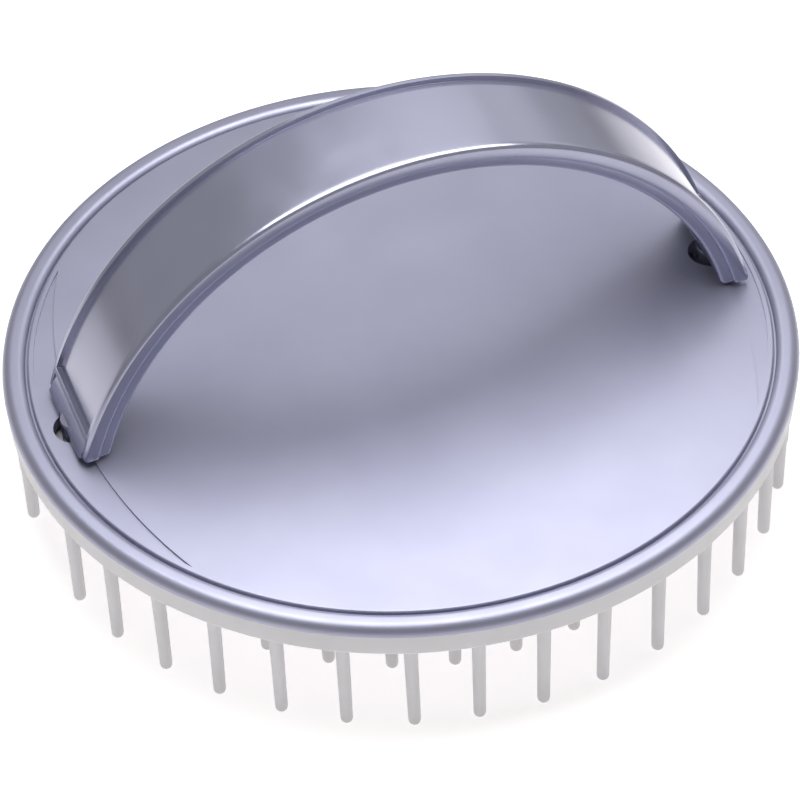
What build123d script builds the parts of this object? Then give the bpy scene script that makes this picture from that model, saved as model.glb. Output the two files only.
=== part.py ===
from build123d import *
import math
import os

# Curry comb: a round hand comb with an arched strap handle and a pad of flexible pins.
# Millimetres. The origin is the disc's centre on the plane of the pin tips, +Z is up,
# and the strap's span lies along X. It is seen in use from the -Y side.

# ---- driving dimensions -------------------------------------------------------------
DISC_R = 45.5            # outer radius of the rim bead
GROOVE_Z = 15.4          # bottom of the groove between the plate's field and the bead
GROOVE_R = 42.7          # where the groove is deepest

# top plate
FIELD_RISE = 0.6         # the flat field stands this far above the groove's bottom
FIELD_R = 41.8           # where the flat field starts to roll into the groove
ROLL_R = 42.4            # a point on that roll, and how far it lies below the field
ROLL_DROP = 0.2
GROOVE_IN = 0.1          # the groove's flat bottom, inward and outward of GROOVE_R
GROOVE_OUT = 0.15
BEAD_RISE = 0.9          # crest of the rim bead above the groove's bottom
BEAD_DROP = 0.4          # underside of the bead below the groove's bottom
CREST_INWARD = 0.1       # the crest stands this far inside the bead's middle
BEAD_EDGE_DROP = 0.1     # outermost edge of the bead below the groove's bottom
BEAD_TUCK = 0.25         # the bead's underside tucks in this far from its outer edge
PLATE_DROP = 1.0         # underside of the plate below the groove's bottom
SKIRT_OUTER_R = 42.6     # locating skirt that drops inside the pad's wall
SKIRT_WALL = 1.1
SKIRT_DROP = 1.5
LAND_DEPTH = 0.25        # crescent lands under the strap's ends
LAND_ARC_R = 63.0
LAND_ARC_X = 38.6        # where the land's edge crosses the strap's axis

# pin pad
PAD_R = 45.35
PAD_WALL_R = 42.7        # inside of the pad's wall
PAD_FLOOR_TOP = 1.9      # below the groove's bottom
PAD_DROP = 3.2           # below the groove's bottom
PAD_EDGE_R = 0.35

# pins
PIN_ROOT_R = 0.78
PIN_TIP_R = 0.70
PIN_PITCH = 7.2          # spacing wanted round each ring
RING_OUTER_R = 44.2
RING_STEP = 8.05
RING_COUNT = 6

# strap handle
STRAP_R = 42.15          # outer radius of the arch
STRAP_DROP = 10.0        # the arch's centre below the groove's bottom
STRAP_HALF = 6.9         # half width, the same all along
LIP_HEIGHT = 1.9         # thickness of the rounded lip that shows at each side
STRAP_HEIGHT = 3.3       # lip and the flange under it
FLANGE_INSET = 0.4       # the flange stands in from the lip
LIP_WIDTH = 1.2
CHANNEL_DEPTH = 0.6      # the outer face is sunk between the lips
WEB_THICKNESS = 1.4      # floor of the H section
FOOT_GAP = 1.1           # lips stop this far above the field
NOTCH_RISE = 2.9         # height of the V notch in each end of the outer face
NOTCH_DEPTH = 1.0
NOTCH_INSET = 0.84       # the notch stands in from the strap's sides
END_LIP = 0.7            # lip that follows the notch
EDGE_ROUND = 0.35

# snap studs
STUD_X = 38.6
STUD_R = 1.7
STUD_TOP = 6.0           # above the groove's bottom
STUD_INSET = 0.3         # the stud stays this far inside the arch's outer surface
HOLE_R = 2.6
HOOK_REACH = 3.1         # half width over the two hooks
HOOK_THICKNESS = 0.7
HOOK_TAPER = 0.4         # the hook's lower edge stands in, to lead it through the hole
HOOK_CLEARANCE = 0.05
SLOT_WIDTH = 1.2
SLOT_TOP = 1.2           # above the groove's bottom
TAB_HALF_TOP = 5.9
TAB_HALF_BOTTOM = 4.2
TAB_INNER = 2.7          # depth of the tab's faces below the arch's outer surface
TAB_OUTER = 1.2

# ---- worked-out places --------------------------------------------------------------
FIELD_Z = GROOVE_Z + FIELD_RISE
LAND_Z = FIELD_Z - LAND_DEPTH
PLATE_UNDER_Z = GROOVE_Z - PLATE_DROP
PAD_BOTTOM_Z = GROOVE_Z - PAD_DROP
STRAP_CENTRE_Z = GROOVE_Z - STRAP_DROP
STRAP_END_Z = FIELD_Z + FOOT_GAP
BEYOND = 10.0            # how far a cutter runs past what it cuts
SIDES = (-1, 1)
UPRIGHT = (Align.CENTER, Align.CENTER, Align.MIN)


# ---- top plate ----------------------------------------------------------------------
def plate_section():
    """Half section of the plate: flat field, groove, rim bead, skirt."""
    bead_under = GROOVE_Z - BEAD_DROP
    bead_edge = GROOVE_Z - BEAD_EDGE_DROP
    bead_start = GROOVE_R + GROOVE_OUT
    bead_crest = (bead_start + DISC_R) / 2 - CREST_INWARD
    groove_start = GROOVE_R - GROOVE_IN
    skirt_inner = SKIRT_OUTER_R - SKIRT_WALL
    skirt_z = GROOVE_Z - SKIRT_DROP
    with BuildSketch(Plane.XZ) as section:
        with BuildLine():
            Line((0, PLATE_UNDER_Z), (0, FIELD_Z))
            Line((0, FIELD_Z), (FIELD_R, FIELD_Z))
            ThreePointArc(
                (FIELD_R, FIELD_Z),
                (ROLL_R, FIELD_Z - ROLL_DROP),
                (groove_start, GROOVE_Z),
            )
            Line((groove_start, GROOVE_Z), (bead_start, GROOVE_Z))
            ThreePointArc(
                (bead_start, GROOVE_Z),
                (bead_crest, GROOVE_Z + BEAD_RISE),
                (DISC_R, bead_edge),
            )
            Line((DISC_R, bead_edge), (DISC_R - BEAD_TUCK, bead_under))
            Line((DISC_R - BEAD_TUCK, bead_under), (SKIRT_OUTER_R, bead_under))
            Line((SKIRT_OUTER_R, bead_under), (SKIRT_OUTER_R, skirt_z))
            Line((SKIRT_OUTER_R, skirt_z), (skirt_inner, skirt_z))
            Line((skirt_inner, skirt_z), (skirt_inner, PLATE_UNDER_Z))
            Line((skirt_inner, PLATE_UNDER_Z), (0, PLATE_UNDER_Z))
        make_face()
    return section.sketch


def crescent_land(side):
    """Cutter for the shallow crescent land under one end of the strap."""
    outer = Cylinder(FIELD_R, BEYOND, align=UPRIGHT)
    kept = Cylinder(LAND_ARC_R, 3 * BEYOND)
    kept = Pos(side * (LAND_ARC_X - LAND_ARC_R), 0, 0) * kept
    half_space = Pos(side * DISC_R / 2, 0, 0) * Box(DISC_R, 2 * DISC_R, 3 * BEYOND)
    return Pos(0, 0, LAND_Z) * ((outer - kept) & half_space)


def make_top_plate():
    plate = revolve(plate_section(), Axis.Z)
    for side in SIDES:
        plate -= crescent_land(side)
        plate -= Pos(side * STUD_X, 0, PLATE_UNDER_Z) * Cylinder(HOLE_R, BEYOND)
    return plate


# ---- strap handle -------------------------------------------------------------------
def arch_ring(depth_top, depth_bottom):
    """Full ring round the arch's axis, between two depths under its outer surface."""
    outer = Cylinder(STRAP_R - depth_top, 2 * BEYOND, rotation=(90, 0, 0))
    inner = Cylinder(STRAP_R - depth_bottom, 3 * BEYOND, rotation=(90, 0, 0))
    return Pos(0, 0, STRAP_CENTRE_Z) * (outer - inner)


def between_sides(inset):
    """Upright block between the strap's two sides, set in from them."""
    return Box(2 * DISC_R, 2 * (STRAP_HALF - inset), 2 * DISC_R, align=UPRIGHT)


def below_v(offset):
    """Everything under the inverted V that ends the strap's outer face."""
    foot = STRAP_END_Z + offset
    apex = STRAP_END_Z + NOTCH_RISE + offset
    reach = STRAP_HALF
    with BuildSketch(Plane.YZ) as shape:
        with BuildLine():
            Polyline((-reach, 0), (-reach, foot), (0, apex), (reach, foot), (reach, 0), close=True)
        make_face()
    return extrude(shape.sketch, DISC_R, both=True)


def strap_arch():
    """H-section arch: rounded lips, flanges set in under them, a web between."""
    lips = arch_ring(0, LIP_HEIGHT) & between_sides(0)
    flanges = arch_ring(LIP_HEIGHT, STRAP_HEIGHT) & between_sides(FLANGE_INSET)
    end_cut = Box(4 * DISC_R, 4 * DISC_R, STRAP_END_Z, align=UPRIGHT)
    lips -= end_cut
    edges = lips.edges().filter_by(lambda e: abs(e.length) > DISC_R)
    outside = [e for e in edges if (e @ 0.5).Z > STRAP_CENTRE_Z + STRAP_R - LIP_HEIGHT / 2]
    lips = fillet(outside, EDGE_ROUND)
    under = arch_ring(CHANNEL_DEPTH + WEB_THICKNESS, STRAP_HEIGHT + BEYOND / 2)
    under = under & between_sides(FLANGE_INSET + LIP_WIDTH)
    channel = arch_ring(-BEYOND / 2, CHANNEL_DEPTH) & between_sides(LIP_WIDTH)
    notch = arch_ring(-BEYOND / 2, NOTCH_DEPTH) & between_sides(NOTCH_INSET)
    arch = lips + (flanges - end_cut)
    arch -= under
    arch -= channel - below_v(END_LIP)
    arch -= notch & below_v(0)
    return arch


def end_tab(side):
    """Tab between the flanges that carries the strap on the plate, round the stud."""
    top = STRAP_END_Z + NOTCH_RISE
    with BuildSketch(Plane.YZ) as shape:
        with BuildLine():
            Polyline(
                (-TAB_HALF_BOTTOM, FIELD_Z),
                (-TAB_HALF_TOP, STRAP_END_Z),
                (-TAB_HALF_TOP, top),
                (TAB_HALF_TOP, top),
                (TAB_HALF_TOP, STRAP_END_Z),
                (TAB_HALF_BOTTOM, FIELD_Z),
                close=True,
            )
        make_face()
    prism = extrude(shape.sketch, side * DISC_R)
    tab = arch_ring(TAB_OUTER, TAB_INNER) & prism
    clearance = Pos(side * STUD_X, 0, FIELD_Z) * Cylinder(HOLE_R, FOOT_GAP)
    return tab - clearance


def snap_stud(side):
    """Round stud split into two prongs, each with a hook that catches under the plate."""
    hook_top = PLATE_UNDER_Z - HOOK_CLEARANCE
    hook_bottom = hook_top - HOOK_THICKNESS
    height = GROOVE_Z + STUD_TOP - hook_bottom
    stud = Cylinder(STUD_R, height, align=UPRIGHT)
    hooks = Cone(HOOK_REACH - HOOK_TAPER, HOOK_REACH, HOOK_THICKNESS, align=UPRIGHT)
    hooks = hooks & Box(2 * STUD_R, 2 * HOOK_REACH, HOOK_THICKNESS, align=UPRIGHT)
    slot = Box(2 * HOOK_REACH, SLOT_WIDTH, GROOVE_Z + SLOT_TOP - hook_bottom, align=UPRIGHT)
    placed = Pos(side * STUD_X, 0, hook_bottom) * (stud + hooks - slot)
    within_arch = Cylinder(STRAP_R - STUD_INSET, 2 * BEYOND, rotation=(90, 0, 0))
    return placed & (Pos(0, 0, STRAP_CENTRE_Z) * within_arch)


def make_handle_strap():
    strap = strap_arch()
    for side in SIDES:
        strap += end_tab(side)
        strap += snap_stud(side)
    return strap


# ---- pad and pins -------------------------------------------------------------------
def make_pin_pad():
    """Shallow flexible tray: a floor that holds the pins, and a wall under the bead."""
    wall_top = GROOVE_Z - BEAD_DROP
    floor_top = GROOVE_Z - PAD_FLOOR_TOP
    tray = Pos(0, 0, PAD_BOTTOM_Z) * Cylinder(PAD_R, wall_top - PAD_BOTTOM_Z, align=UPRIGHT)
    tray = fillet(tray.edges().sort_by(Axis.Z)[0], PAD_EDGE_R)
    return tray - Pos(0, 0, floor_top) * Cylinder(PAD_WALL_R, BEYOND, align=UPRIGHT)


def make_pin():
    """One tapered pin with a round tip, standing on the tip plane."""
    corner = PIN_TIP_R * math.sqrt(0.5)
    with BuildSketch(Plane.XZ) as section:
        with BuildLine():
            ThreePointArc((0, 0), (corner, PIN_TIP_R - corner), (PIN_TIP_R, PIN_TIP_R))
            Line((PIN_TIP_R, PIN_TIP_R), (PIN_ROOT_R, PAD_BOTTOM_Z))
            Line((PIN_ROOT_R, PAD_BOTTOM_Z), (0, PAD_BOTTOM_Z))
            Line((0, PAD_BOTTOM_Z), (0, 0))
        make_face()
    return revolve(section.sketch, Axis.Z)


def ring_angles(index, count):
    """Angles of one ring's pins. The outermost ring straddles the strap's axis and
    leaves out the pin just in front of the strap's left foot."""
    step = 360 / count
    if index > 0:
        return [step * k for k in range(count)]
    angles = [step * (k + 0.5) for k in range(count)]
    skipped = 180 + step / 2
    return [a for a in angles if abs(a - skipped) > step / 4]


def make_pin_ring(index, pin):
    radius = RING_OUTER_R - RING_STEP * index
    count = 2 * round(math.pi * radius / PIN_PITCH)
    pins = [Rot(0, 0, a) * Pos(radius, 0, 0) * pin for a in ring_angles(index, count)]
    return Compound(children=pins)


# ---- write the parts ----------------------------------------------------------------
def main():
    os.makedirs("parts", exist_ok=True)
    nodes = {
        "top_plate": make_top_plate(),
        "handle_strap": make_handle_strap(),
        "pin_pad": make_pin_pad(),
    }
    pin = make_pin()
    for index in range(RING_COUNT):
        nodes[f"pin_ring_{index + 1}"] = make_pin_ring(index, pin)
    for name, shape in nodes.items():
        export_step(shape, f"parts/{name}.step")


main()
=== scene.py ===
# %% [markdown]
# # A round curry comb with a strap handle
#
# This lesson builds the looks of a palm-held curry comb: a silver-lavender plastic disc with a
# rolled rim, an arched strap that the fingers go under, and a soft grey pad of blunt pins. The
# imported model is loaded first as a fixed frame. It holds every size, so each piece here is
# measured from it, modelled over it and then stands in for it.

# %% Load the frame
import math
import random

import bmesh
import bpy
from mathutils import Matrix, Vector


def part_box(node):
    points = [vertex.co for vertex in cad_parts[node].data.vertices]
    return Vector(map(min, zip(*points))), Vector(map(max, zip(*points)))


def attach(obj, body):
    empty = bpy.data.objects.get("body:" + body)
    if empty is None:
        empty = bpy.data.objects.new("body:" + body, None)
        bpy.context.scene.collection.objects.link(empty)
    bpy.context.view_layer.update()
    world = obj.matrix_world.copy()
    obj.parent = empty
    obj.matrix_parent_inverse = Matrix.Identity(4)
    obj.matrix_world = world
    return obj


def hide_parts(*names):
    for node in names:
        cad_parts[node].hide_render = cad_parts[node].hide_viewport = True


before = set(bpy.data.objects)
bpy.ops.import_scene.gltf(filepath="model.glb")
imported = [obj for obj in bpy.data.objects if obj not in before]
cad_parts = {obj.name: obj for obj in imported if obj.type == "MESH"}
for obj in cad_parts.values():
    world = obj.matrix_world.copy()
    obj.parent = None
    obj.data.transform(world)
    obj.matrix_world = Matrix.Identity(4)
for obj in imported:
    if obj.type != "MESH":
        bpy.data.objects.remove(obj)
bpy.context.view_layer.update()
MM = 0.001
SIDES = (-1, 1)

# %% [markdown]
# ## Sizes read from the frame
#
# Each node's box gives the big sizes: how wide the disc is, where the pad's wall meets the rim
# bead, how high the strap stands. What a box cannot give, such as how deep the groove is, is a
# named value beside them, in millimetres turned into metres.

# %% Read the sizes
plate_low, plate_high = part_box("top_plate")
pad_low, pad_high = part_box("pin_pad")
strap_low, strap_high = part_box("handle_strap")

DISC_R = plate_high.x
BEAD_TOP_Z = plate_high.z
BEAD_UNDER_Z = pad_high.z
PAD_BOTTOM_Z = pad_low.z
SKIRT_Z = plate_low.z
GROOVE_Z = BEAD_UNDER_Z + 0.4 * MM
FIELD_Z = GROOVE_Z + 0.6 * MM
PLATE_UNDER_Z = GROOVE_Z - 1.0 * MM
LAND_Z = FIELD_Z - 0.25 * MM
STUD_X = 38.6 * MM
print("disc radius", round(DISC_R / MM, 2), "mm, field at", round(FIELD_Z / MM, 2), "mm")

# %% [markdown]
# ## A few hand tools
#
# Modelling by operator needs something selected. These helpers do what a hand does with the
# mouse: clear the selection, pick faces or edges by where they are, extrude and move them, and
# cut one shape with another. A picked face is known by its centre and its normal.


# %% Define the hand tools
def clear_selection():
    """Nothing selected, in object mode."""
    if bpy.context.object and bpy.context.object.mode != "OBJECT":
        bpy.ops.object.mode_set(mode="OBJECT")
    bpy.ops.object.select_all(action="DESELECT")


def take(piece):
    """Make one piece the only selected and active one."""
    clear_selection()
    piece.select_set(True)
    bpy.context.view_layer.objects.active = piece


def open_edit(piece):
    """Enter edit mode on a piece with nothing picked."""
    take(piece)
    bpy.ops.object.mode_set(mode="EDIT")
    bpy.ops.mesh.select_all(action="DESELECT")


def close_edit():
    """Back to object mode."""
    bpy.ops.object.mode_set(mode="OBJECT")


def pick_faces(piece, wanted):
    """In edit mode, pick the faces whose centre and normal pass the test."""
    bpy.ops.mesh.select_mode(type="FACE")
    bpy.ops.mesh.select_all(action="DESELECT")
    mesh = bmesh.from_edit_mesh(piece.data)
    for face in mesh.faces:
        face.select_set(wanted(face.calc_center_median(), face.normal))
    mesh.select_flush_mode()
    bmesh.update_edit_mesh(piece.data)


LEVEL = 0.9


def looks_up(centre, normal):
    """A test for pick_faces: the face looks up."""
    return normal.z > LEVEL


def looks_down(centre, normal):
    """A test for pick_faces: the face looks down."""
    return normal.z < -LEVEL


def pick_edges(piece, wanted):
    """In edit mode, pick the edges whose two ends both pass the test."""
    bpy.ops.mesh.select_mode(type="EDGE")
    bpy.ops.mesh.select_all(action="DESELECT")
    mesh = bmesh.from_edit_mesh(piece.data)
    for edge in mesh.edges:
        edge.select_set(all(wanted(corner.co) for corner in edge.verts))
    bmesh.update_edit_mesh(piece.data)


def extrude_by(z=0.0):
    """Extrude the picked faces and lift them."""
    bpy.ops.mesh.extrude_region_move(TRANSFORM_OT_translate={"value": (0, 0, z)})


def near(a, b, within=0.02 * MM):
    """Whether two measures agree."""
    return abs(a - b) < within


def radius_of(point):
    """How far a point lies from the disc's axis."""
    return math.hypot(point.x, point.y)


def add_cylinder(name, radius, low_z, high_z, vertices, x=0.0):
    """A plain round bar between two heights, its place left in its mesh."""
    clear_selection()
    middle = (low_z + high_z) / 2
    bpy.ops.mesh.primitive_cylinder_add(
        vertices=vertices, radius=radius, depth=high_z - low_z, location=(x, 0, middle)
    )
    return settle(name)


def add_box(name, low, high):
    """A plain box between two corners, its place left in its mesh."""
    clear_selection()
    low, high = Vector(low), Vector(high)
    bpy.ops.mesh.primitive_cube_add(size=1, location=(low + high) / 2)
    bpy.context.object.scale = high - low
    return settle(name)


def settle(name):
    """Name the active object and put its place, turn and size into its mesh."""
    piece = bpy.context.object
    piece.name = name
    piece.data.name = name
    bpy.ops.object.transform_apply(location=True, rotation=True, scale=True)
    return piece


def apply_modifier(piece, kind, **settings):
    """Add a modifier, set it and apply it at once."""
    take(piece)
    modifier = piece.modifiers.new(kind.title(), kind)
    for key, value in settings.items():
        setattr(modifier, key, value)
    bpy.ops.object.modifier_apply(modifier=modifier.name)


def combine(piece, tool, operation):
    """Cut a piece with a tool, or weld the tool to it, and throw the tool away."""
    apply_modifier(piece, "BOOLEAN", operation=operation, object=tool, solver="EXACT")
    bpy.data.objects.remove(tool)


def smooth(piece, degrees=32):
    """Smooth shading that leaves corners sharp and broad faces flat."""
    take(piece)
    bpy.ops.object.shade_smooth_by_angle(angle=math.radians(degrees))
    apply_modifier(piece, "WEIGHTED_NORMAL", keep_sharp=True, weight=100)


def tell(piece):
    """Print how many faces a piece has come to."""
    print(piece.name, "faces", len(piece.data.polygons))


# %% [markdown]
# ## The disc
#
# The real disc is one moulding: a flat field, a small rounded groove round it, and a domed bead at
# the rim that hides the pad's edge. It could be spun from an outline. It is made here the way a
# turner would do it, from a round blank: inset the top face to mark the bead, sink the middle to
# make the groove, lift the field out of it, then round the edges with bevels.

# %% Turn the disc from a blank
BEAD_INNER_R = 42.85 * MM
GROOVE_INNER_R = 42.6 * MM
SKIRT_R = 42.6 * MM
SKIRT_WALL = 1.1 * MM
ROUND_STEPS = 192

disc = add_cylinder("silver_disc", DISC_R, BEAD_UNDER_Z, BEAD_TOP_Z, vertices=ROUND_STEPS)
open_edit(disc)
pick_faces(disc, looks_up)
bpy.ops.mesh.inset(thickness=DISC_R - BEAD_INNER_R)
extrude_by(z=GROOVE_Z - BEAD_TOP_Z)
bpy.ops.mesh.inset(thickness=BEAD_INNER_R - GROOVE_INNER_R)
extrude_by(z=FIELD_Z - GROOVE_Z)
pick_faces(disc, looks_down)
bpy.ops.mesh.inset(thickness=DISC_R - SKIRT_R)
extrude_by(z=SKIRT_Z - BEAD_UNDER_Z)
bpy.ops.mesh.inset(thickness=SKIRT_WALL)
extrude_by(z=PLATE_UNDER_Z - SKIRT_Z)
close_edit()
tell(disc)

# %% [markdown]
# The bead needs a full round, so its outer shoulder takes a wide bevel and its inner one a smaller
# bevel. The field's edge gets a soft roll into the groove. A bevel modifier could round every sharp
# edge alike, but here each ring has its own width. Bevels come before the holes, while every edge
# is still a clean ring.

# %% Round the bead and the field's edge
BEAD_OUTER_ROUND = 1.18 * MM
BEAD_INNER_ROUND = 0.86 * MM
FIELD_ROUND = 0.25 * MM
UNDER_ROUND = 0.1 * MM


def round_ring(piece, ring_radius, height, width, segments):
    """Bevel the ring of edges at one radius and height."""
    pick_edges(piece, lambda p: near(radius_of(p), ring_radius) and near(p.z, height))
    bpy.ops.mesh.bevel(offset=width, segments=segments, affect="EDGES", profile=0.5)


open_edit(disc)
round_ring(disc, DISC_R, BEAD_TOP_Z, BEAD_OUTER_ROUND, segments=8)
round_ring(disc, BEAD_INNER_R, BEAD_TOP_Z, BEAD_INNER_ROUND, segments=6)
round_ring(disc, GROOVE_INNER_R, FIELD_Z, FIELD_ROUND, segments=3)
round_ring(disc, DISC_R, BEAD_UNDER_Z, UNDER_ROUND, segments=2)
close_edit()
tell(disc)

# %% [markdown]
# Under each end of the strap the field drops by a quarter of a millimetre, in a crescent between
# the field's edge and a flat arc. A crescent is one disc less a larger disc, so the tool for it is
# made that way, and it then cuts the field. A round hole goes through for each stud.

# %% Cut the crescent lands and the stud holes
FIELD_FLAT_R = 41.9 * MM
LAND_ARC_R = 63.0 * MM
LAND_ARC_X = 38.6 * MM
LAND_ARC_STEPS = 256
HOLE_R = 2.6 * MM
HOLE_STEPS = 48

for side in SIDES:
    crescent = add_cylinder("crescent", FIELD_FLAT_R, LAND_Z, FIELD_Z + MM, vertices=ROUND_STEPS)
    keep_x = side * (LAND_ARC_X - LAND_ARC_R)
    kept_top_z = FIELD_Z + 2 * MM
    kept = add_cylinder("kept", LAND_ARC_R, LAND_Z - MM, kept_top_z, LAND_ARC_STEPS, x=keep_x)
    combine(crescent, kept, "DIFFERENCE")
    combine(disc, crescent, "DIFFERENCE")
    hole_x = side * STUD_X
    drill = add_cylinder("drill", HOLE_R, PLATE_UNDER_Z - MM, FIELD_Z + MM, HOLE_STEPS, x=hole_x)
    combine(disc, drill, "DIFFERENCE")
smooth(disc)
tell(disc)

# %% [markdown]
# ## The strap, first as a flat bar
#
# The strap is an arch with an H section: a sunk face between two round lips on the outside, a
# trough under it, and a flange set in a little below each lip. Modelling it bent would be awkward,
# so it is made flat, like a bar on a bench, and bent at the end. Along the bar, X is the distance
# along the arch's outer face, and Z counts down from that face.

# %% Measure the arch
ARCH_R = 42.15 * MM
ARCH_CENTRE_Z = strap_high.z - ARCH_R
STRAP_HALF = strap_high.y
LIP_HEIGHT = 1.9 * MM
STRAP_HEIGHT = 3.3 * MM
FLANGE_INSET = 0.4 * MM
LIP_WIDTH = 0.95 * MM
CHANNEL_DEPTH = 0.6 * MM
WEB = 1.4 * MM
FOOT_Z = FIELD_Z + 0.7 * MM
RIDGE_Z = FIELD_Z + 3.0 * MM
RIDGE_WIDTH = 0.75 * MM


def along_arch(height, depth=0.0):
    """Distance along the arch from its crown to a height, at some depth in the strap."""
    return ARCH_R * math.acos((height - ARCH_CENTRE_Z) / (ARCH_R - depth))


FOOT_S = along_arch(FOOT_Z)
FOOT_S_INSIDE = along_arch(FOOT_Z, STRAP_HEIGHT)
RIDGE_S = along_arch(RIDGE_Z)
print("half length along the arch", round(FOOT_S / MM, 1), "mm")

# %% [markdown]
# The bar starts as a box the size of the flanges. Its top face is extruded on the spot, widened to
# make the step, and extruded again to raise the lips. Its ends lean, so that they will stand level
# on the disc once the bar is bent. Then the edges are rounded: the lips well, because that is
# where the hand bears, and the tips of both ends.

# %% Raise the lips on the bar
TIP_ROUND = 0.5 * MM
LIP_ROUND = 0.65 * MM
STEP_ROUND = 0.4 * MM


def pick_long_edges(piece, height, half_width):
    """In edit mode, pick the edges that run along the bar at one height and width."""
    pick_edges(piece, lambda p: near(p.z, height) and near(abs(p.y), half_width))
    mesh = bmesh.from_edit_mesh(piece.data)
    for edge in mesh.edges:
        if near(edge.verts[0].co.x, edge.verts[1].co.x):
            edge.select_set(False)
    bmesh.update_edit_mesh(piece.data)


flange_y = STRAP_HALF - FLANGE_INSET
strap = add_box(
    "strap", (-FOOT_S, -flange_y, -STRAP_HEIGHT), (FOOT_S, flange_y, -LIP_HEIGHT)
)
open_edit(strap)
pick_faces(strap, looks_up)
extrude_by()
bpy.ops.transform.resize(value=(1, STRAP_HALF / flange_y, 1))
extrude_by(z=LIP_HEIGHT)
for side in SIDES:
    for height in (-LIP_HEIGHT, -STRAP_HEIGHT):
        lean = (FOOT_S_INSIDE - FOOT_S) * height / -STRAP_HEIGHT
        pick_edges(strap, lambda p: near(p.z, height) and near(p.x, side * FOOT_S))
        bpy.ops.transform.translate(value=(side * lean, 0, 0))
pick_edges(strap, lambda p: near(p.z, 0) and near(abs(p.x), FOOT_S))
bpy.ops.mesh.bevel(offset=TIP_ROUND, segments=4, affect="EDGES")
pick_edges(strap, lambda p: near(p.z, -STRAP_HEIGHT) and near(abs(p.x), FOOT_S_INSIDE))
bpy.ops.mesh.bevel(offset=TIP_ROUND, segments=4, affect="EDGES")
pick_long_edges(strap, 0, STRAP_HALF)
bpy.ops.mesh.bevel(offset=LIP_ROUND, segments=6, affect="EDGES")
pick_long_edges(strap, -LIP_HEIGHT, STRAP_HALF)
bpy.ops.mesh.bevel(offset=STEP_ROUND, segments=4, affect="EDGES")
close_edit()
tell(strap)

# %% [markdown]
# The sunk face stops short of each end behind a narrow ridge. Beyond the ridge the middle of the
# strap is cut away, which leaves the two lips standing as prongs. The trough underneath is one
# more box cut out. All of this could be insets and extrudes, but plain boxes and the Boolean
# modifier's difference say more directly where each cut begins and ends. The new edges are then
# broken by a narrow bevel, since no moulded edge is knife sharp.

# %% Sink the channel, free the prongs and cut the trough
FLANGE_WALL = 1.2 * MM
TROUGH_STOP = 1.6 * MM
EDGE_BREAK = 0.12 * MM
SHARP_ANGLE = 0.7

channel_y = STRAP_HALF - LIP_WIDTH
channel_end = RIDGE_S - RIDGE_WIDTH
trough_y = flange_y - FLANGE_WALL
trough_end = RIDGE_S - TROUGH_STOP
channel_low = (-channel_end, -channel_y, -CHANNEL_DEPTH)
combine(strap, add_box("channel", channel_low, (channel_end, channel_y, MM)), "DIFFERENCE")
trough_low = (-trough_end, -trough_y, -STRAP_HEIGHT - MM)
trough_high = (trough_end, trough_y, -CHANNEL_DEPTH - WEB)
combine(strap, add_box("trough", trough_low, trough_high), "DIFFERENCE")
for side in SIDES:
    near_x, far_x = side * RIDGE_S, side * (FOOT_S + 2 * MM)
    gap_low = (min(near_x, far_x), -channel_y, -STRAP_HEIGHT - MM)
    gap_high = (max(near_x, far_x), channel_y, MM)
    combine(strap, add_box("gap", gap_low, gap_high), "DIFFERENCE")
apply_modifier(
    strap, "BEVEL", width=EDGE_BREAK, segments=2, limit_method="ANGLE", angle_limit=SHARP_ANGLE
)
tell(strap)

# %% [markdown]
# ## Bending the bar into the arch
#
# A bar only bends where it has edges across it, so it is bisected every millimetre or so. The
# bend itself turns each point about the arch's centre by its distance along the bar. A Simple
# Deform modifier could bend it, but this one sum also keeps the exact radius of the frame. A strap
# snapped into its holes seldom stands true: this one stands a little too far to the right, all but
# its right foot.

# %% Bend the strap
BEND_CUTS = 112
SWAY = 0.85 * MM

open_edit(strap)
for step in range(1, BEND_CUTS):
    bpy.ops.mesh.select_all(action="SELECT")
    cut_x = FOOT_S * (2 * step / BEND_CUTS - 1)
    bpy.ops.mesh.bisect(plane_co=(cut_x, 0, 0), plane_no=(1, 0, 0))
close_edit()


def sway(along):
    """How far the strap has moved to the right at a distance along the arch."""
    progress = min(1, (along + FOOT_S) / (2 * FOOT_S))
    return SWAY * (1 - progress**4)


for vertex in strap.data.vertices:
    along, across, depth = vertex.co
    angle = along / ARCH_R
    radius = ARCH_R + depth
    reach = radius * math.sin(angle)
    vertex.co = (reach + sway(along), across, ARCH_CENTRE_Z + radius * math.cos(angle))
tell(strap)

# %% [markdown]
# ## Feet and studs
#
# Below each ridge a tab narrows down to the disc and carries the strap on it. Out of the tab comes
# a round stud, slit up its middle, that goes down through the hole. Its two hooks catch under
# the disc. They are hidden once the comb is closed, but they are what holds the strap on. Tabs and
# studs stand upright, so they are made after the bend, not on the flat bar, and welded to it.

# %% Add the tabs and the slit studs
TAB_TOP_HALF = 5.9 * MM
TAB_FOOT_HALF = 3.1 * MM
TAB_THICK = 1.5 * MM
TAB_OUTER_X = 39.95 * MM
RIDGE_TUCK = 0.3 * MM
STUD_R = 1.7 * MM
STUD_TOP_Z = FOOT_Z + 0.5 * MM
HOOK_TOP_Z = PLATE_UNDER_Z - 0.05 * MM
HOOK_BOTTOM_Z = HOOK_TOP_Z - 0.7 * MM
HOOK_REACH = 3.1 * MM
HOOK_HALF = 0.8 * STUD_R
HOOK_TAPER = 0.8
SLIT_WIDTH = 1.2 * MM
SLIT_TOP_Z = GROOVE_Z + 1.2 * MM


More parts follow.
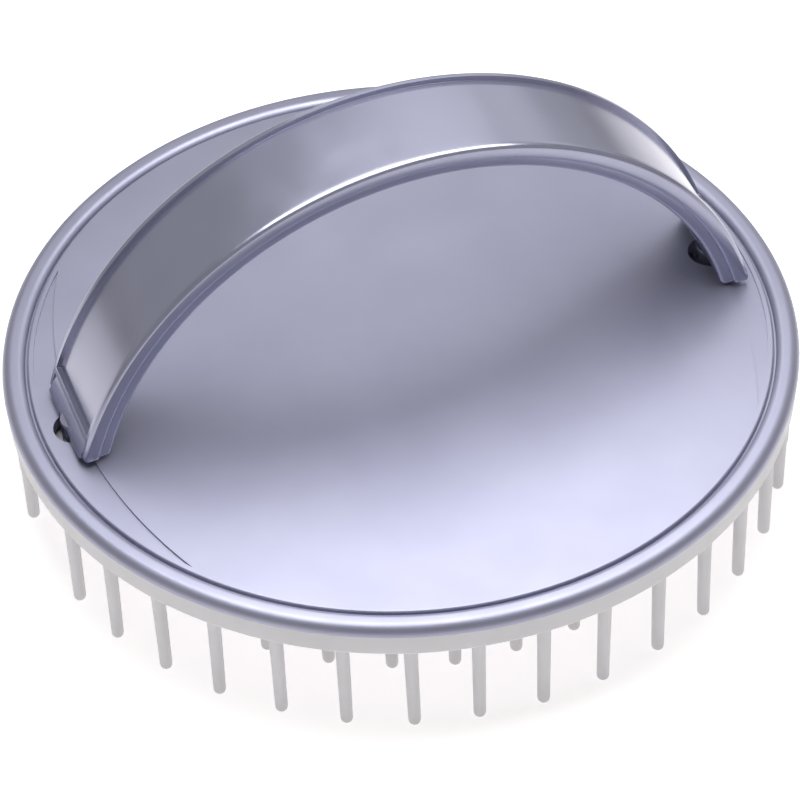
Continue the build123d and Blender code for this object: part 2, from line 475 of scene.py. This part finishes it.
def make_tab(side):
    """A flat tab, narrower at its foot, whose top leans in to meet the ridge."""
    outer_x = side * TAB_OUTER_X
    inner_x = outer_x - side * TAB_THICK
    low = (min(outer_x, inner_x), -TAB_TOP_HALF, FIELD_Z)
    tab = add_box("tab", low, (max(outer_x, inner_x), TAB_TOP_HALF, RIDGE_Z))
    open_edit(tab)
    bpy.ops.mesh.select_all(action="SELECT")
    bpy.ops.mesh.bisect(plane_co=(0, 0, FOOT_Z), plane_no=(0, 0, 1))
    pick_faces(tab, looks_down)
    bpy.ops.transform.resize(value=(1, TAB_FOOT_HALF / TAB_TOP_HALF, 1))
    pick_faces(tab, looks_up)
    ridge_s = side * RIDGE_S
    ridge_x = (ARCH_R - RIDGE_TUCK) * math.sin(ridge_s / ARCH_R) + sway(ridge_s)
    bpy.ops.transform.translate(value=(ridge_x - outer_x, 0, 0))
    close_edit()
    hole_x = side * STUD_X
    opening = add_cylinder("opening", HOLE_R, FIELD_Z - MM, FOOT_Z, HOLE_STEPS, x=hole_x)
    combine(tab, opening, "DIFFERENCE")
    return tab


def make_stud(side):
    """A round stud with two hooks, slit so that its prongs can give."""
    stud_x = side * STUD_X
    stud = add_cylinder("stud", STUD_R, HOOK_BOTTOM_Z, STUD_TOP_Z, vertices=32, x=stud_x)
    left, right = stud_x - HOOK_HALF, stud_x + HOOK_HALF
    hooks = add_box("hooks", (left, -HOOK_REACH, HOOK_BOTTOM_Z), (right, HOOK_REACH, HOOK_TOP_Z))
    open_edit(hooks)
    pick_faces(hooks, looks_down)
    bpy.ops.transform.resize(value=(1, HOOK_TAPER, 1))
    close_edit()
    combine(stud, hooks, "UNION")
    slit_low = (stud_x - 2 * STUD_R, -SLIT_WIDTH / 2, HOOK_BOTTOM_Z - MM)
    slit_high = (stud_x + 2 * STUD_R, SLIT_WIDTH / 2, SLIT_TOP_Z)
    combine(stud, add_box("slit", slit_low, slit_high), "DIFFERENCE")
    return stud


for side in SIDES:
    combine(strap, make_tab(side), "UNION")
    combine(strap, make_stud(side), "UNION")
smooth(strap)
tell(strap)

# %% [markdown]
# ## The soft pad
#
# The pad is a shallow tray: its wall shows as the grey band under the rim bead, and its floor
# carries the pins. It is a round blank again, hollowed from the top, with its lower edge rounded,
# so that its wall comes out the same thickness all the way round.

# %% Hollow the pad
PAD_R = pad_high.x
PAD_WALL_R = 42.7 * MM
PAD_FLOOR_Z = GROOVE_Z - 1.9 * MM
PAD_ROUND = 0.35 * MM

pad = add_cylinder("soft_pad", PAD_R, PAD_BOTTOM_Z, BEAD_UNDER_Z, vertices=ROUND_STEPS)
open_edit(pad)
pick_faces(pad, looks_up)
bpy.ops.mesh.inset(thickness=PAD_R - PAD_WALL_R)
extrude_by(z=PAD_FLOOR_Z - BEAD_UNDER_Z)
round_ring(pad, PAD_R, PAD_BOTTOM_Z, PAD_ROUND, segments=4)
close_edit()
smooth(pad)
tell(pad)

# %% [markdown]
# ## One pin, then a ring of them
#
# A pin is a slim tapered peg with a round tip. One is modelled with few faces, because there are
# over a hundred. A cylinder is narrowed at its foot and its lowest edge is bevelled into a dome.
# Its root runs a little way into the pad, so that no seam can show where the two meet.

# %% Model the pin
PIN_ROOT_R = 0.78 * MM
PIN_TIP_R = 0.70 * MM
PIN_ROOT_DEPTH = 0.5 * MM
PIN_DOME = 0.97 * PIN_TIP_R
PIN_SMOOTH_DEGREES = 60

pin = add_cylinder("pin", PIN_ROOT_R, 0, PAD_BOTTOM_Z + PIN_ROOT_DEPTH, vertices=16)
open_edit(pin)
pick_faces(pin, looks_down)
bpy.ops.transform.resize(value=(PIN_TIP_R / PIN_ROOT_R, PIN_TIP_R / PIN_ROOT_R, 1))
pick_edges(pin, lambda p: near(p.z, 0))
bpy.ops.mesh.bevel(offset=PIN_DOME, segments=4, affect="EDGES")
close_edit()
smooth(pin, PIN_SMOOTH_DEGREES)
tell(pin)

# %% [markdown]
# Each ring's radius comes from the box of its own node. The number of pins keeps the spacing a
# little over seven millimetres, always an even count. The outer ring straddles the strap's line
# and misses one pin beside the strap's left foot. An array modifier could set the pins out, but
# soft pins never stand quite true, and copies in a loop can each lean by a fraction of a degree
# about their own root, from a fixed seed.

# %% Set the rings
PIN_PITCH = 7.2 * MM
RING_COUNT = 6
PIN_LEAN = math.radians(0.7)
random.seed(7)


def ring_angles(ring, count):
    """Where the pins of a ring stand, in degrees round the disc."""
    step = 360 / count
    if ring > 0:
        return [step * place for place in range(count)]
    angles = [step * (place + 0.5) for place in range(count)]
    return [angle for angle in angles if not near(angle, 180 + step / 2, 0.01)]


def place_pin(source, radius, degrees):
    """A copy of the pin with its own mesh, leaning a little about its root."""
    copy = source.copy()
    copy.data = source.data.copy()
    bpy.context.collection.objects.link(copy)
    root = Matrix.Translation((0, 0, PAD_BOTTOM_Z))
    lean = Matrix.Rotation(random.uniform(-PIN_LEAN, PIN_LEAN), 4, "X")
    lean = lean @ Matrix.Rotation(random.uniform(-PIN_LEAN, PIN_LEAN), 4, "Y")
    turned = Matrix.Rotation(math.radians(degrees), 4, "Z") @ Matrix.Translation((radius, 0, 0))
    copy.data.transform(turned @ root @ lean @ root.inverted())
    return copy


def make_ring(ring, source):
    """All the pins of one ring, joined into one piece."""
    low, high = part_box(f"pin_ring_{ring + 1}")
    radius = high.y - PIN_ROOT_R if ring == 0 else high.x - PIN_ROOT_R
    count = 2 * round(math.pi * radius / PIN_PITCH)
    pins = [place_pin(source, radius, angle) for angle in ring_angles(ring, count)]
    clear_selection()
    for copy in pins:
        copy.select_set(True)
    bpy.context.view_layer.objects.active = pins[0]
    bpy.ops.object.join()
    joined = settle(f"pins_ring_{ring + 1}")
    print(joined.name, "pins", len(pins), "radius", round(radius / MM, 2), "mm")
    return joined


rings = [make_ring(ring, pin) for ring in range(RING_COUNT)]
bpy.data.objects.remove(pin)

# %% [markdown]
# ## Silver-lavender plastic
#
# The disc and the strap are moulded in a plastic filled with fine metallic flake. From a hand's
# distance it reads as satin metal with a violet cast. Up close the colour swims slightly where
# the flake has flowed, the gloss varies in patches, and the skin has a faint ripple. So the
# colour, the roughness and the bump each come from noise, at the scale of that detail. Object
# coordinates are in metres, so a noise scale of 45 gives swirls about twenty millimetres wide,
# and 160 gives patches of about six. The disc is the duller of the two, and the strap is polished.


# %% Build the flake plastic
def new_material(name):
    """An empty node material and its node tree."""
    material = bpy.data.materials.new(name)
    material.use_nodes = True
    return material, material.node_tree


def add_noise(tree, scale, detail=3.0):
    """Noise on object coordinates, in metres, so that it keeps its real scale."""
    place = tree.nodes.new("ShaderNodeTexCoord")
    noise = tree.nodes.new("ShaderNodeTexNoise")
    noise.inputs["Scale"].default_value = scale
    noise.inputs["Detail"].default_value = detail
    tree.links.new(place.outputs["Object"], noise.inputs["Vector"])
    return noise.outputs["Fac"]


def add_ramp(tree, source, stops):
    """A colour ramp from (place, colour) stops."""
    ramp = tree.nodes.new("ShaderNodeValToRGB")
    ramp.color_ramp.elements[0].position = stops[0][0]
    ramp.color_ramp.elements[0].color = stops[0][1]
    ramp.color_ramp.elements[1].position = stops[-1][0]
    ramp.color_ramp.elements[1].color = stops[-1][1]
    for place, colour in stops[1:-1]:
        ramp.color_ramp.elements.new(place).color = colour
    tree.links.new(source, ramp.inputs["Fac"])
    return ramp.outputs["Color"]


NOISE_LOW = 0.3
NOISE_HIGH = 0.7


def add_range(tree, source, low, high):
    """Turn noise, which stays mostly between its low and high, into a range of values."""
    span = tree.nodes.new("ShaderNodeMapRange")
    span.inputs["From Min"].default_value = NOISE_LOW
    span.inputs["From Max"].default_value = NOISE_HIGH
    span.inputs["To Min"].default_value = low
    span.inputs["To Max"].default_value = high
    tree.links.new(source, span.inputs["Value"])
    return span.outputs["Result"]


def add_bump(tree, source, distance, strength):
    """A bump from noise, as deep as the distance."""
    bump = tree.nodes.new("ShaderNodeBump")
    bump.inputs["Strength"].default_value = strength
    bump.inputs["Distance"].default_value = distance
    tree.links.new(source, bump.inputs["Height"])
    return bump.outputs["Normal"]


def flake_plastic(name, dark, light, low_roughness, high_roughness, coat_roughness):
    """A satin metallic plastic under a thin clear skin."""
    material, tree = new_material(name)
    shader = tree.nodes["Principled BSDF"]
    flow = add_noise(tree, 45, detail=4)
    colour = add_ramp(tree, flow, [(0.35, dark), (0.65, light)])
    tree.links.new(colour, shader.inputs["Base Color"])
    patches = add_noise(tree, 160, detail=5)
    satin = add_range(tree, patches, low_roughness, high_roughness)
    tree.links.new(satin, shader.inputs["Roughness"])
    ripple = add_bump(tree, add_noise(tree, 70, detail=1), 0.06 * MM, 0.3)
    tree.links.new(ripple, shader.inputs["Normal"])
    shader.inputs["Metallic"].default_value = 0.8
    shader.inputs["Coat Weight"].default_value = 0.4
    shader.inputs["Coat Roughness"].default_value = coat_roughness
    tree.links.new(ripple, shader.inputs["Coat Normal"])
    print(name, "nodes", len(tree.nodes))
    return material


silver = flake_plastic(
    "flake_plastic_disc", (0.34, 0.343, 0.455, 1), (0.37, 0.375, 0.485, 1), 0.49, 0.55, 0.35
)
silver_strap = flake_plastic(
    "flake_plastic_strap", (0.32, 0.325, 0.43, 1), (0.35, 0.355, 0.46, 1), 0.19, 0.25, 0.15
)

# %% [markdown]
# ## Soft grey plastic
#
# The pad and pins are an unfilled flexible plastic, light grey and a little see-through at its
# thin edges, with a satin skin. Some subsurface light softens it, and a fine bump breaks up the
# highlight on every pin.


# %% Build the soft plastic
def soft_plastic(name, dark, light):
    """A light flexible plastic with a satin skin."""
    material, tree = new_material(name)
    shader = tree.nodes["Principled BSDF"]
    cloud = add_noise(tree, 110, detail=4)
    colour = add_ramp(tree, cloud, [(0.35, dark), (0.65, light)])
    tree.links.new(colour, shader.inputs["Base Color"])
    tree.links.new(add_range(tree, add_noise(tree, 400), 0.38, 0.52), shader.inputs["Roughness"])
    skin = add_bump(tree, add_noise(tree, 2500, detail=3), 0.01 * MM, 0.5)
    tree.links.new(skin, shader.inputs["Normal"])
    shader.inputs["Subsurface Weight"].default_value = 0.15
    shader.inputs["Subsurface Radius"].default_value = (1.0 * MM, 0.9 * MM, 0.85 * MM)
    shader.inputs["Subsurface Scale"].default_value = 1.0
    print(name, "nodes", len(tree.nodes))
    return material


soft = soft_plastic("soft_plastic", (0.64, 0.635, 0.65, 1), (0.68, 0.675, 0.69, 1))

# %% [markdown]
# ## Dressing the pieces
#
# Every piece now gets its finish and takes the place of its CAD node. The comb is held together by
# its studs and moves as one, so every piece rides on the root body. One small helper says all of
# it for a piece, so that no piece can be left half dressed.


# %% Dress every piece
def dress(piece, material, slot_name, *nodes):
    """Give a piece its finish, its body and the CAD nodes that it stands for."""
    piece.data.materials.clear()
    piece.data.materials.append(material)
    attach(piece, "root")
    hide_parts(*nodes)
    print(piece.name, "stands for", *nodes)


dress(disc, silver, "silver_plastic", "top_plate")
dress(strap, silver_strap, "silver_plastic_strap", "handle_strap")
dress(pad, soft, "grey_flexible_plastic", "pin_pad")
for number, ring in enumerate(rings, start=1):
    dress(ring, soft, "grey_flexible_plastic", f"pin_ring_{number}")

# %% [markdown]
# ## Floor, light and camera
#
# The comb stands on its pins on a light table: a pale sheet that also glows a little, so that even
# the floor under the pins stays pale. A white sheet under strong lamps would do the same, but the
# lamps would also flood the disc. The glow starts to fade about two hand's breadths from the
# comb, so the strap, which mirrors the table low down, shows a bright end and then a dark zone.

# %% Lay the light table
TABLE_GLOW = 0.6
GLOW_FROM = 220 * MM
GLOW_TO = 380 * MM

clear_selection()
bpy.ops.mesh.primitive_plane_add(size=6)
floor = settle("floor")
paper, paper_tree = new_material("pale_floor")
sheet = paper_tree.nodes["Principled BSDF"]
sheet.inputs["Base Color"].default_value = (0.85, 0.84, 0.84, 1)
sheet.inputs["Roughness"].default_value = 0.9
sheet.inputs["Specular IOR Level"].default_value = 0.1
sheet.inputs["Emission Color"].default_value = (1.0, 0.97, 0.97, 1)
from_middle = paper_tree.nodes.new("ShaderNodeTexCoord")
reach = paper_tree.nodes.new("ShaderNodeVectorMath")
reach.operation = "LENGTH"
paper_tree.links.new(from_middle.outputs["Object"], reach.inputs[0])
fade = paper_tree.nodes.new("ShaderNodeMapRange")
fade.interpolation_type = "SMOOTHSTEP"
fade.inputs["From Min"].default_value = GLOW_FROM
fade.inputs["From Max"].default_value = GLOW_TO
fade.inputs["To Min"].default_value = TABLE_GLOW
fade.inputs["To Max"].default_value = 0.0
paper_tree.links.new(reach.outputs["Value"], fade.inputs["Value"])
paper_tree.links.new(fade.outputs["Result"], sheet.inputs["Emission Strength"])
floor.data.materials.append(paper)
print("table glows to", round(GLOW_TO / MM), "mm from the middle")

# %% [markdown]
# The room is a dim tent, brighter low down than overhead, so that nothing glossy mirrors plain
# black. The main light is a small bright panel close above the comb. A rough disc this near to its
# light shines at the front, where it sends the light on to the camera, and stays quiet at the
# rear. A large far panel would be softer but would light front and rear alike. Two faint panels
# behind and to the right pick out the strap's crown and its right end.

# %% Light the room
ROOM_GLOW = [(0.0, 0.40), (0.35, 0.33), (0.50, 0.20), (1.0, 0.18)]

world = bpy.data.worlds.new("dim_tent")
bpy.context.scene.world = world
world.use_nodes = True
sky = world.node_tree
direction = sky.nodes.new("ShaderNodeTexCoord")
parts = sky.nodes.new("ShaderNodeSeparateXYZ")
sky.links.new(direction.outputs["Generated"], parts.inputs["Vector"])
glow_stops = [(height, (glow, glow, glow, 1)) for height, glow in ROOM_GLOW]
glow_colour = add_ramp(sky, parts.outputs["Z"], glow_stops)
sky.links.new(glow_colour, sky.nodes["Background"].inputs["Color"])


def add_softbox(name, place, towards, width, depth, radiance):
    """An area light that shines with one radiance whatever its size."""
    clear_selection()
    bpy.ops.object.light_add(type="AREA", location=place)
    lamp = bpy.context.object
    lamp.name = name
    lamp.data.shape = "RECTANGLE"
    lamp.data.size = width
    lamp.data.size_y = depth
    lamp.data.energy = radiance * math.pi * width * depth
    lamp.rotation_euler = (Vector(towards) - Vector(place)).to_track_quat("-Z", "Y").to_euler()
    print(name, "energy", round(lamp.data.energy, 3))


over_comb = Vector((0.005, 0.002, 0.115))
add_softbox(
    "overhead_panel", over_comb, (over_comb.x, over_comb.y, 0), width=0.13, depth=0.10, radiance=5.2
)
add_softbox(
    "rear_panel", (0.25, 0.85, 0.66), (0, 0, 0.04), width=0.75, depth=0.28, radiance=0.75
)
add_softbox(
    "right_panel", (0.62, 0.55, 0.35), (0, 0, 0.03), width=0.5, depth=0.22, radiance=0.4
)

# %% [markdown]
# The camera stands front-left and looks down at about forty-four degrees through a long lens,
# tipped a touch to one side. A Track To constraint would aim it but could not tip it as well, so
# its turn is written as three directions, right, up and back, which are the columns of its matrix.

# %% Set the camera
AZIMUTH = math.radians(-18.6)
ELEVATION = math.radians(44.21)
ROLL = math.radians(-2.39)
DISTANCE = 407 * MM
LENS = 162.9

target = Vector((-3.4 * MM, -9.23 * MM, GROOVE_Z))
back = Vector(
    (
        math.sin(AZIMUTH) * math.cos(ELEVATION),
        -math.cos(AZIMUTH) * math.cos(ELEVATION),
        math.sin(ELEVATION),
    )
)
level_right = (-back).cross(Vector((0, 0, 1))).normalized()
level_up = level_right.cross(-back)
right = math.cos(ROLL) * level_right + math.sin(ROLL) * level_up
up = -math.sin(ROLL) * level_right + math.cos(ROLL) * level_up

clear_selection()
bpy.ops.object.camera_add()
camera = bpy.context.object
camera.matrix_world = Matrix.Translation(target + back * DISTANCE) @ Matrix(
    (right, up, back)
).transposed().to_4x4()
camera.data.lens = LENS
camera.data.sensor_width = 36
camera.data.clip_start = 0.01
bpy.context.scene.camera = camera
bpy.context.scene.view_settings.view_transform = "Standard"
print("camera", [round(value, 3) for value in camera.matrix_world.translation])
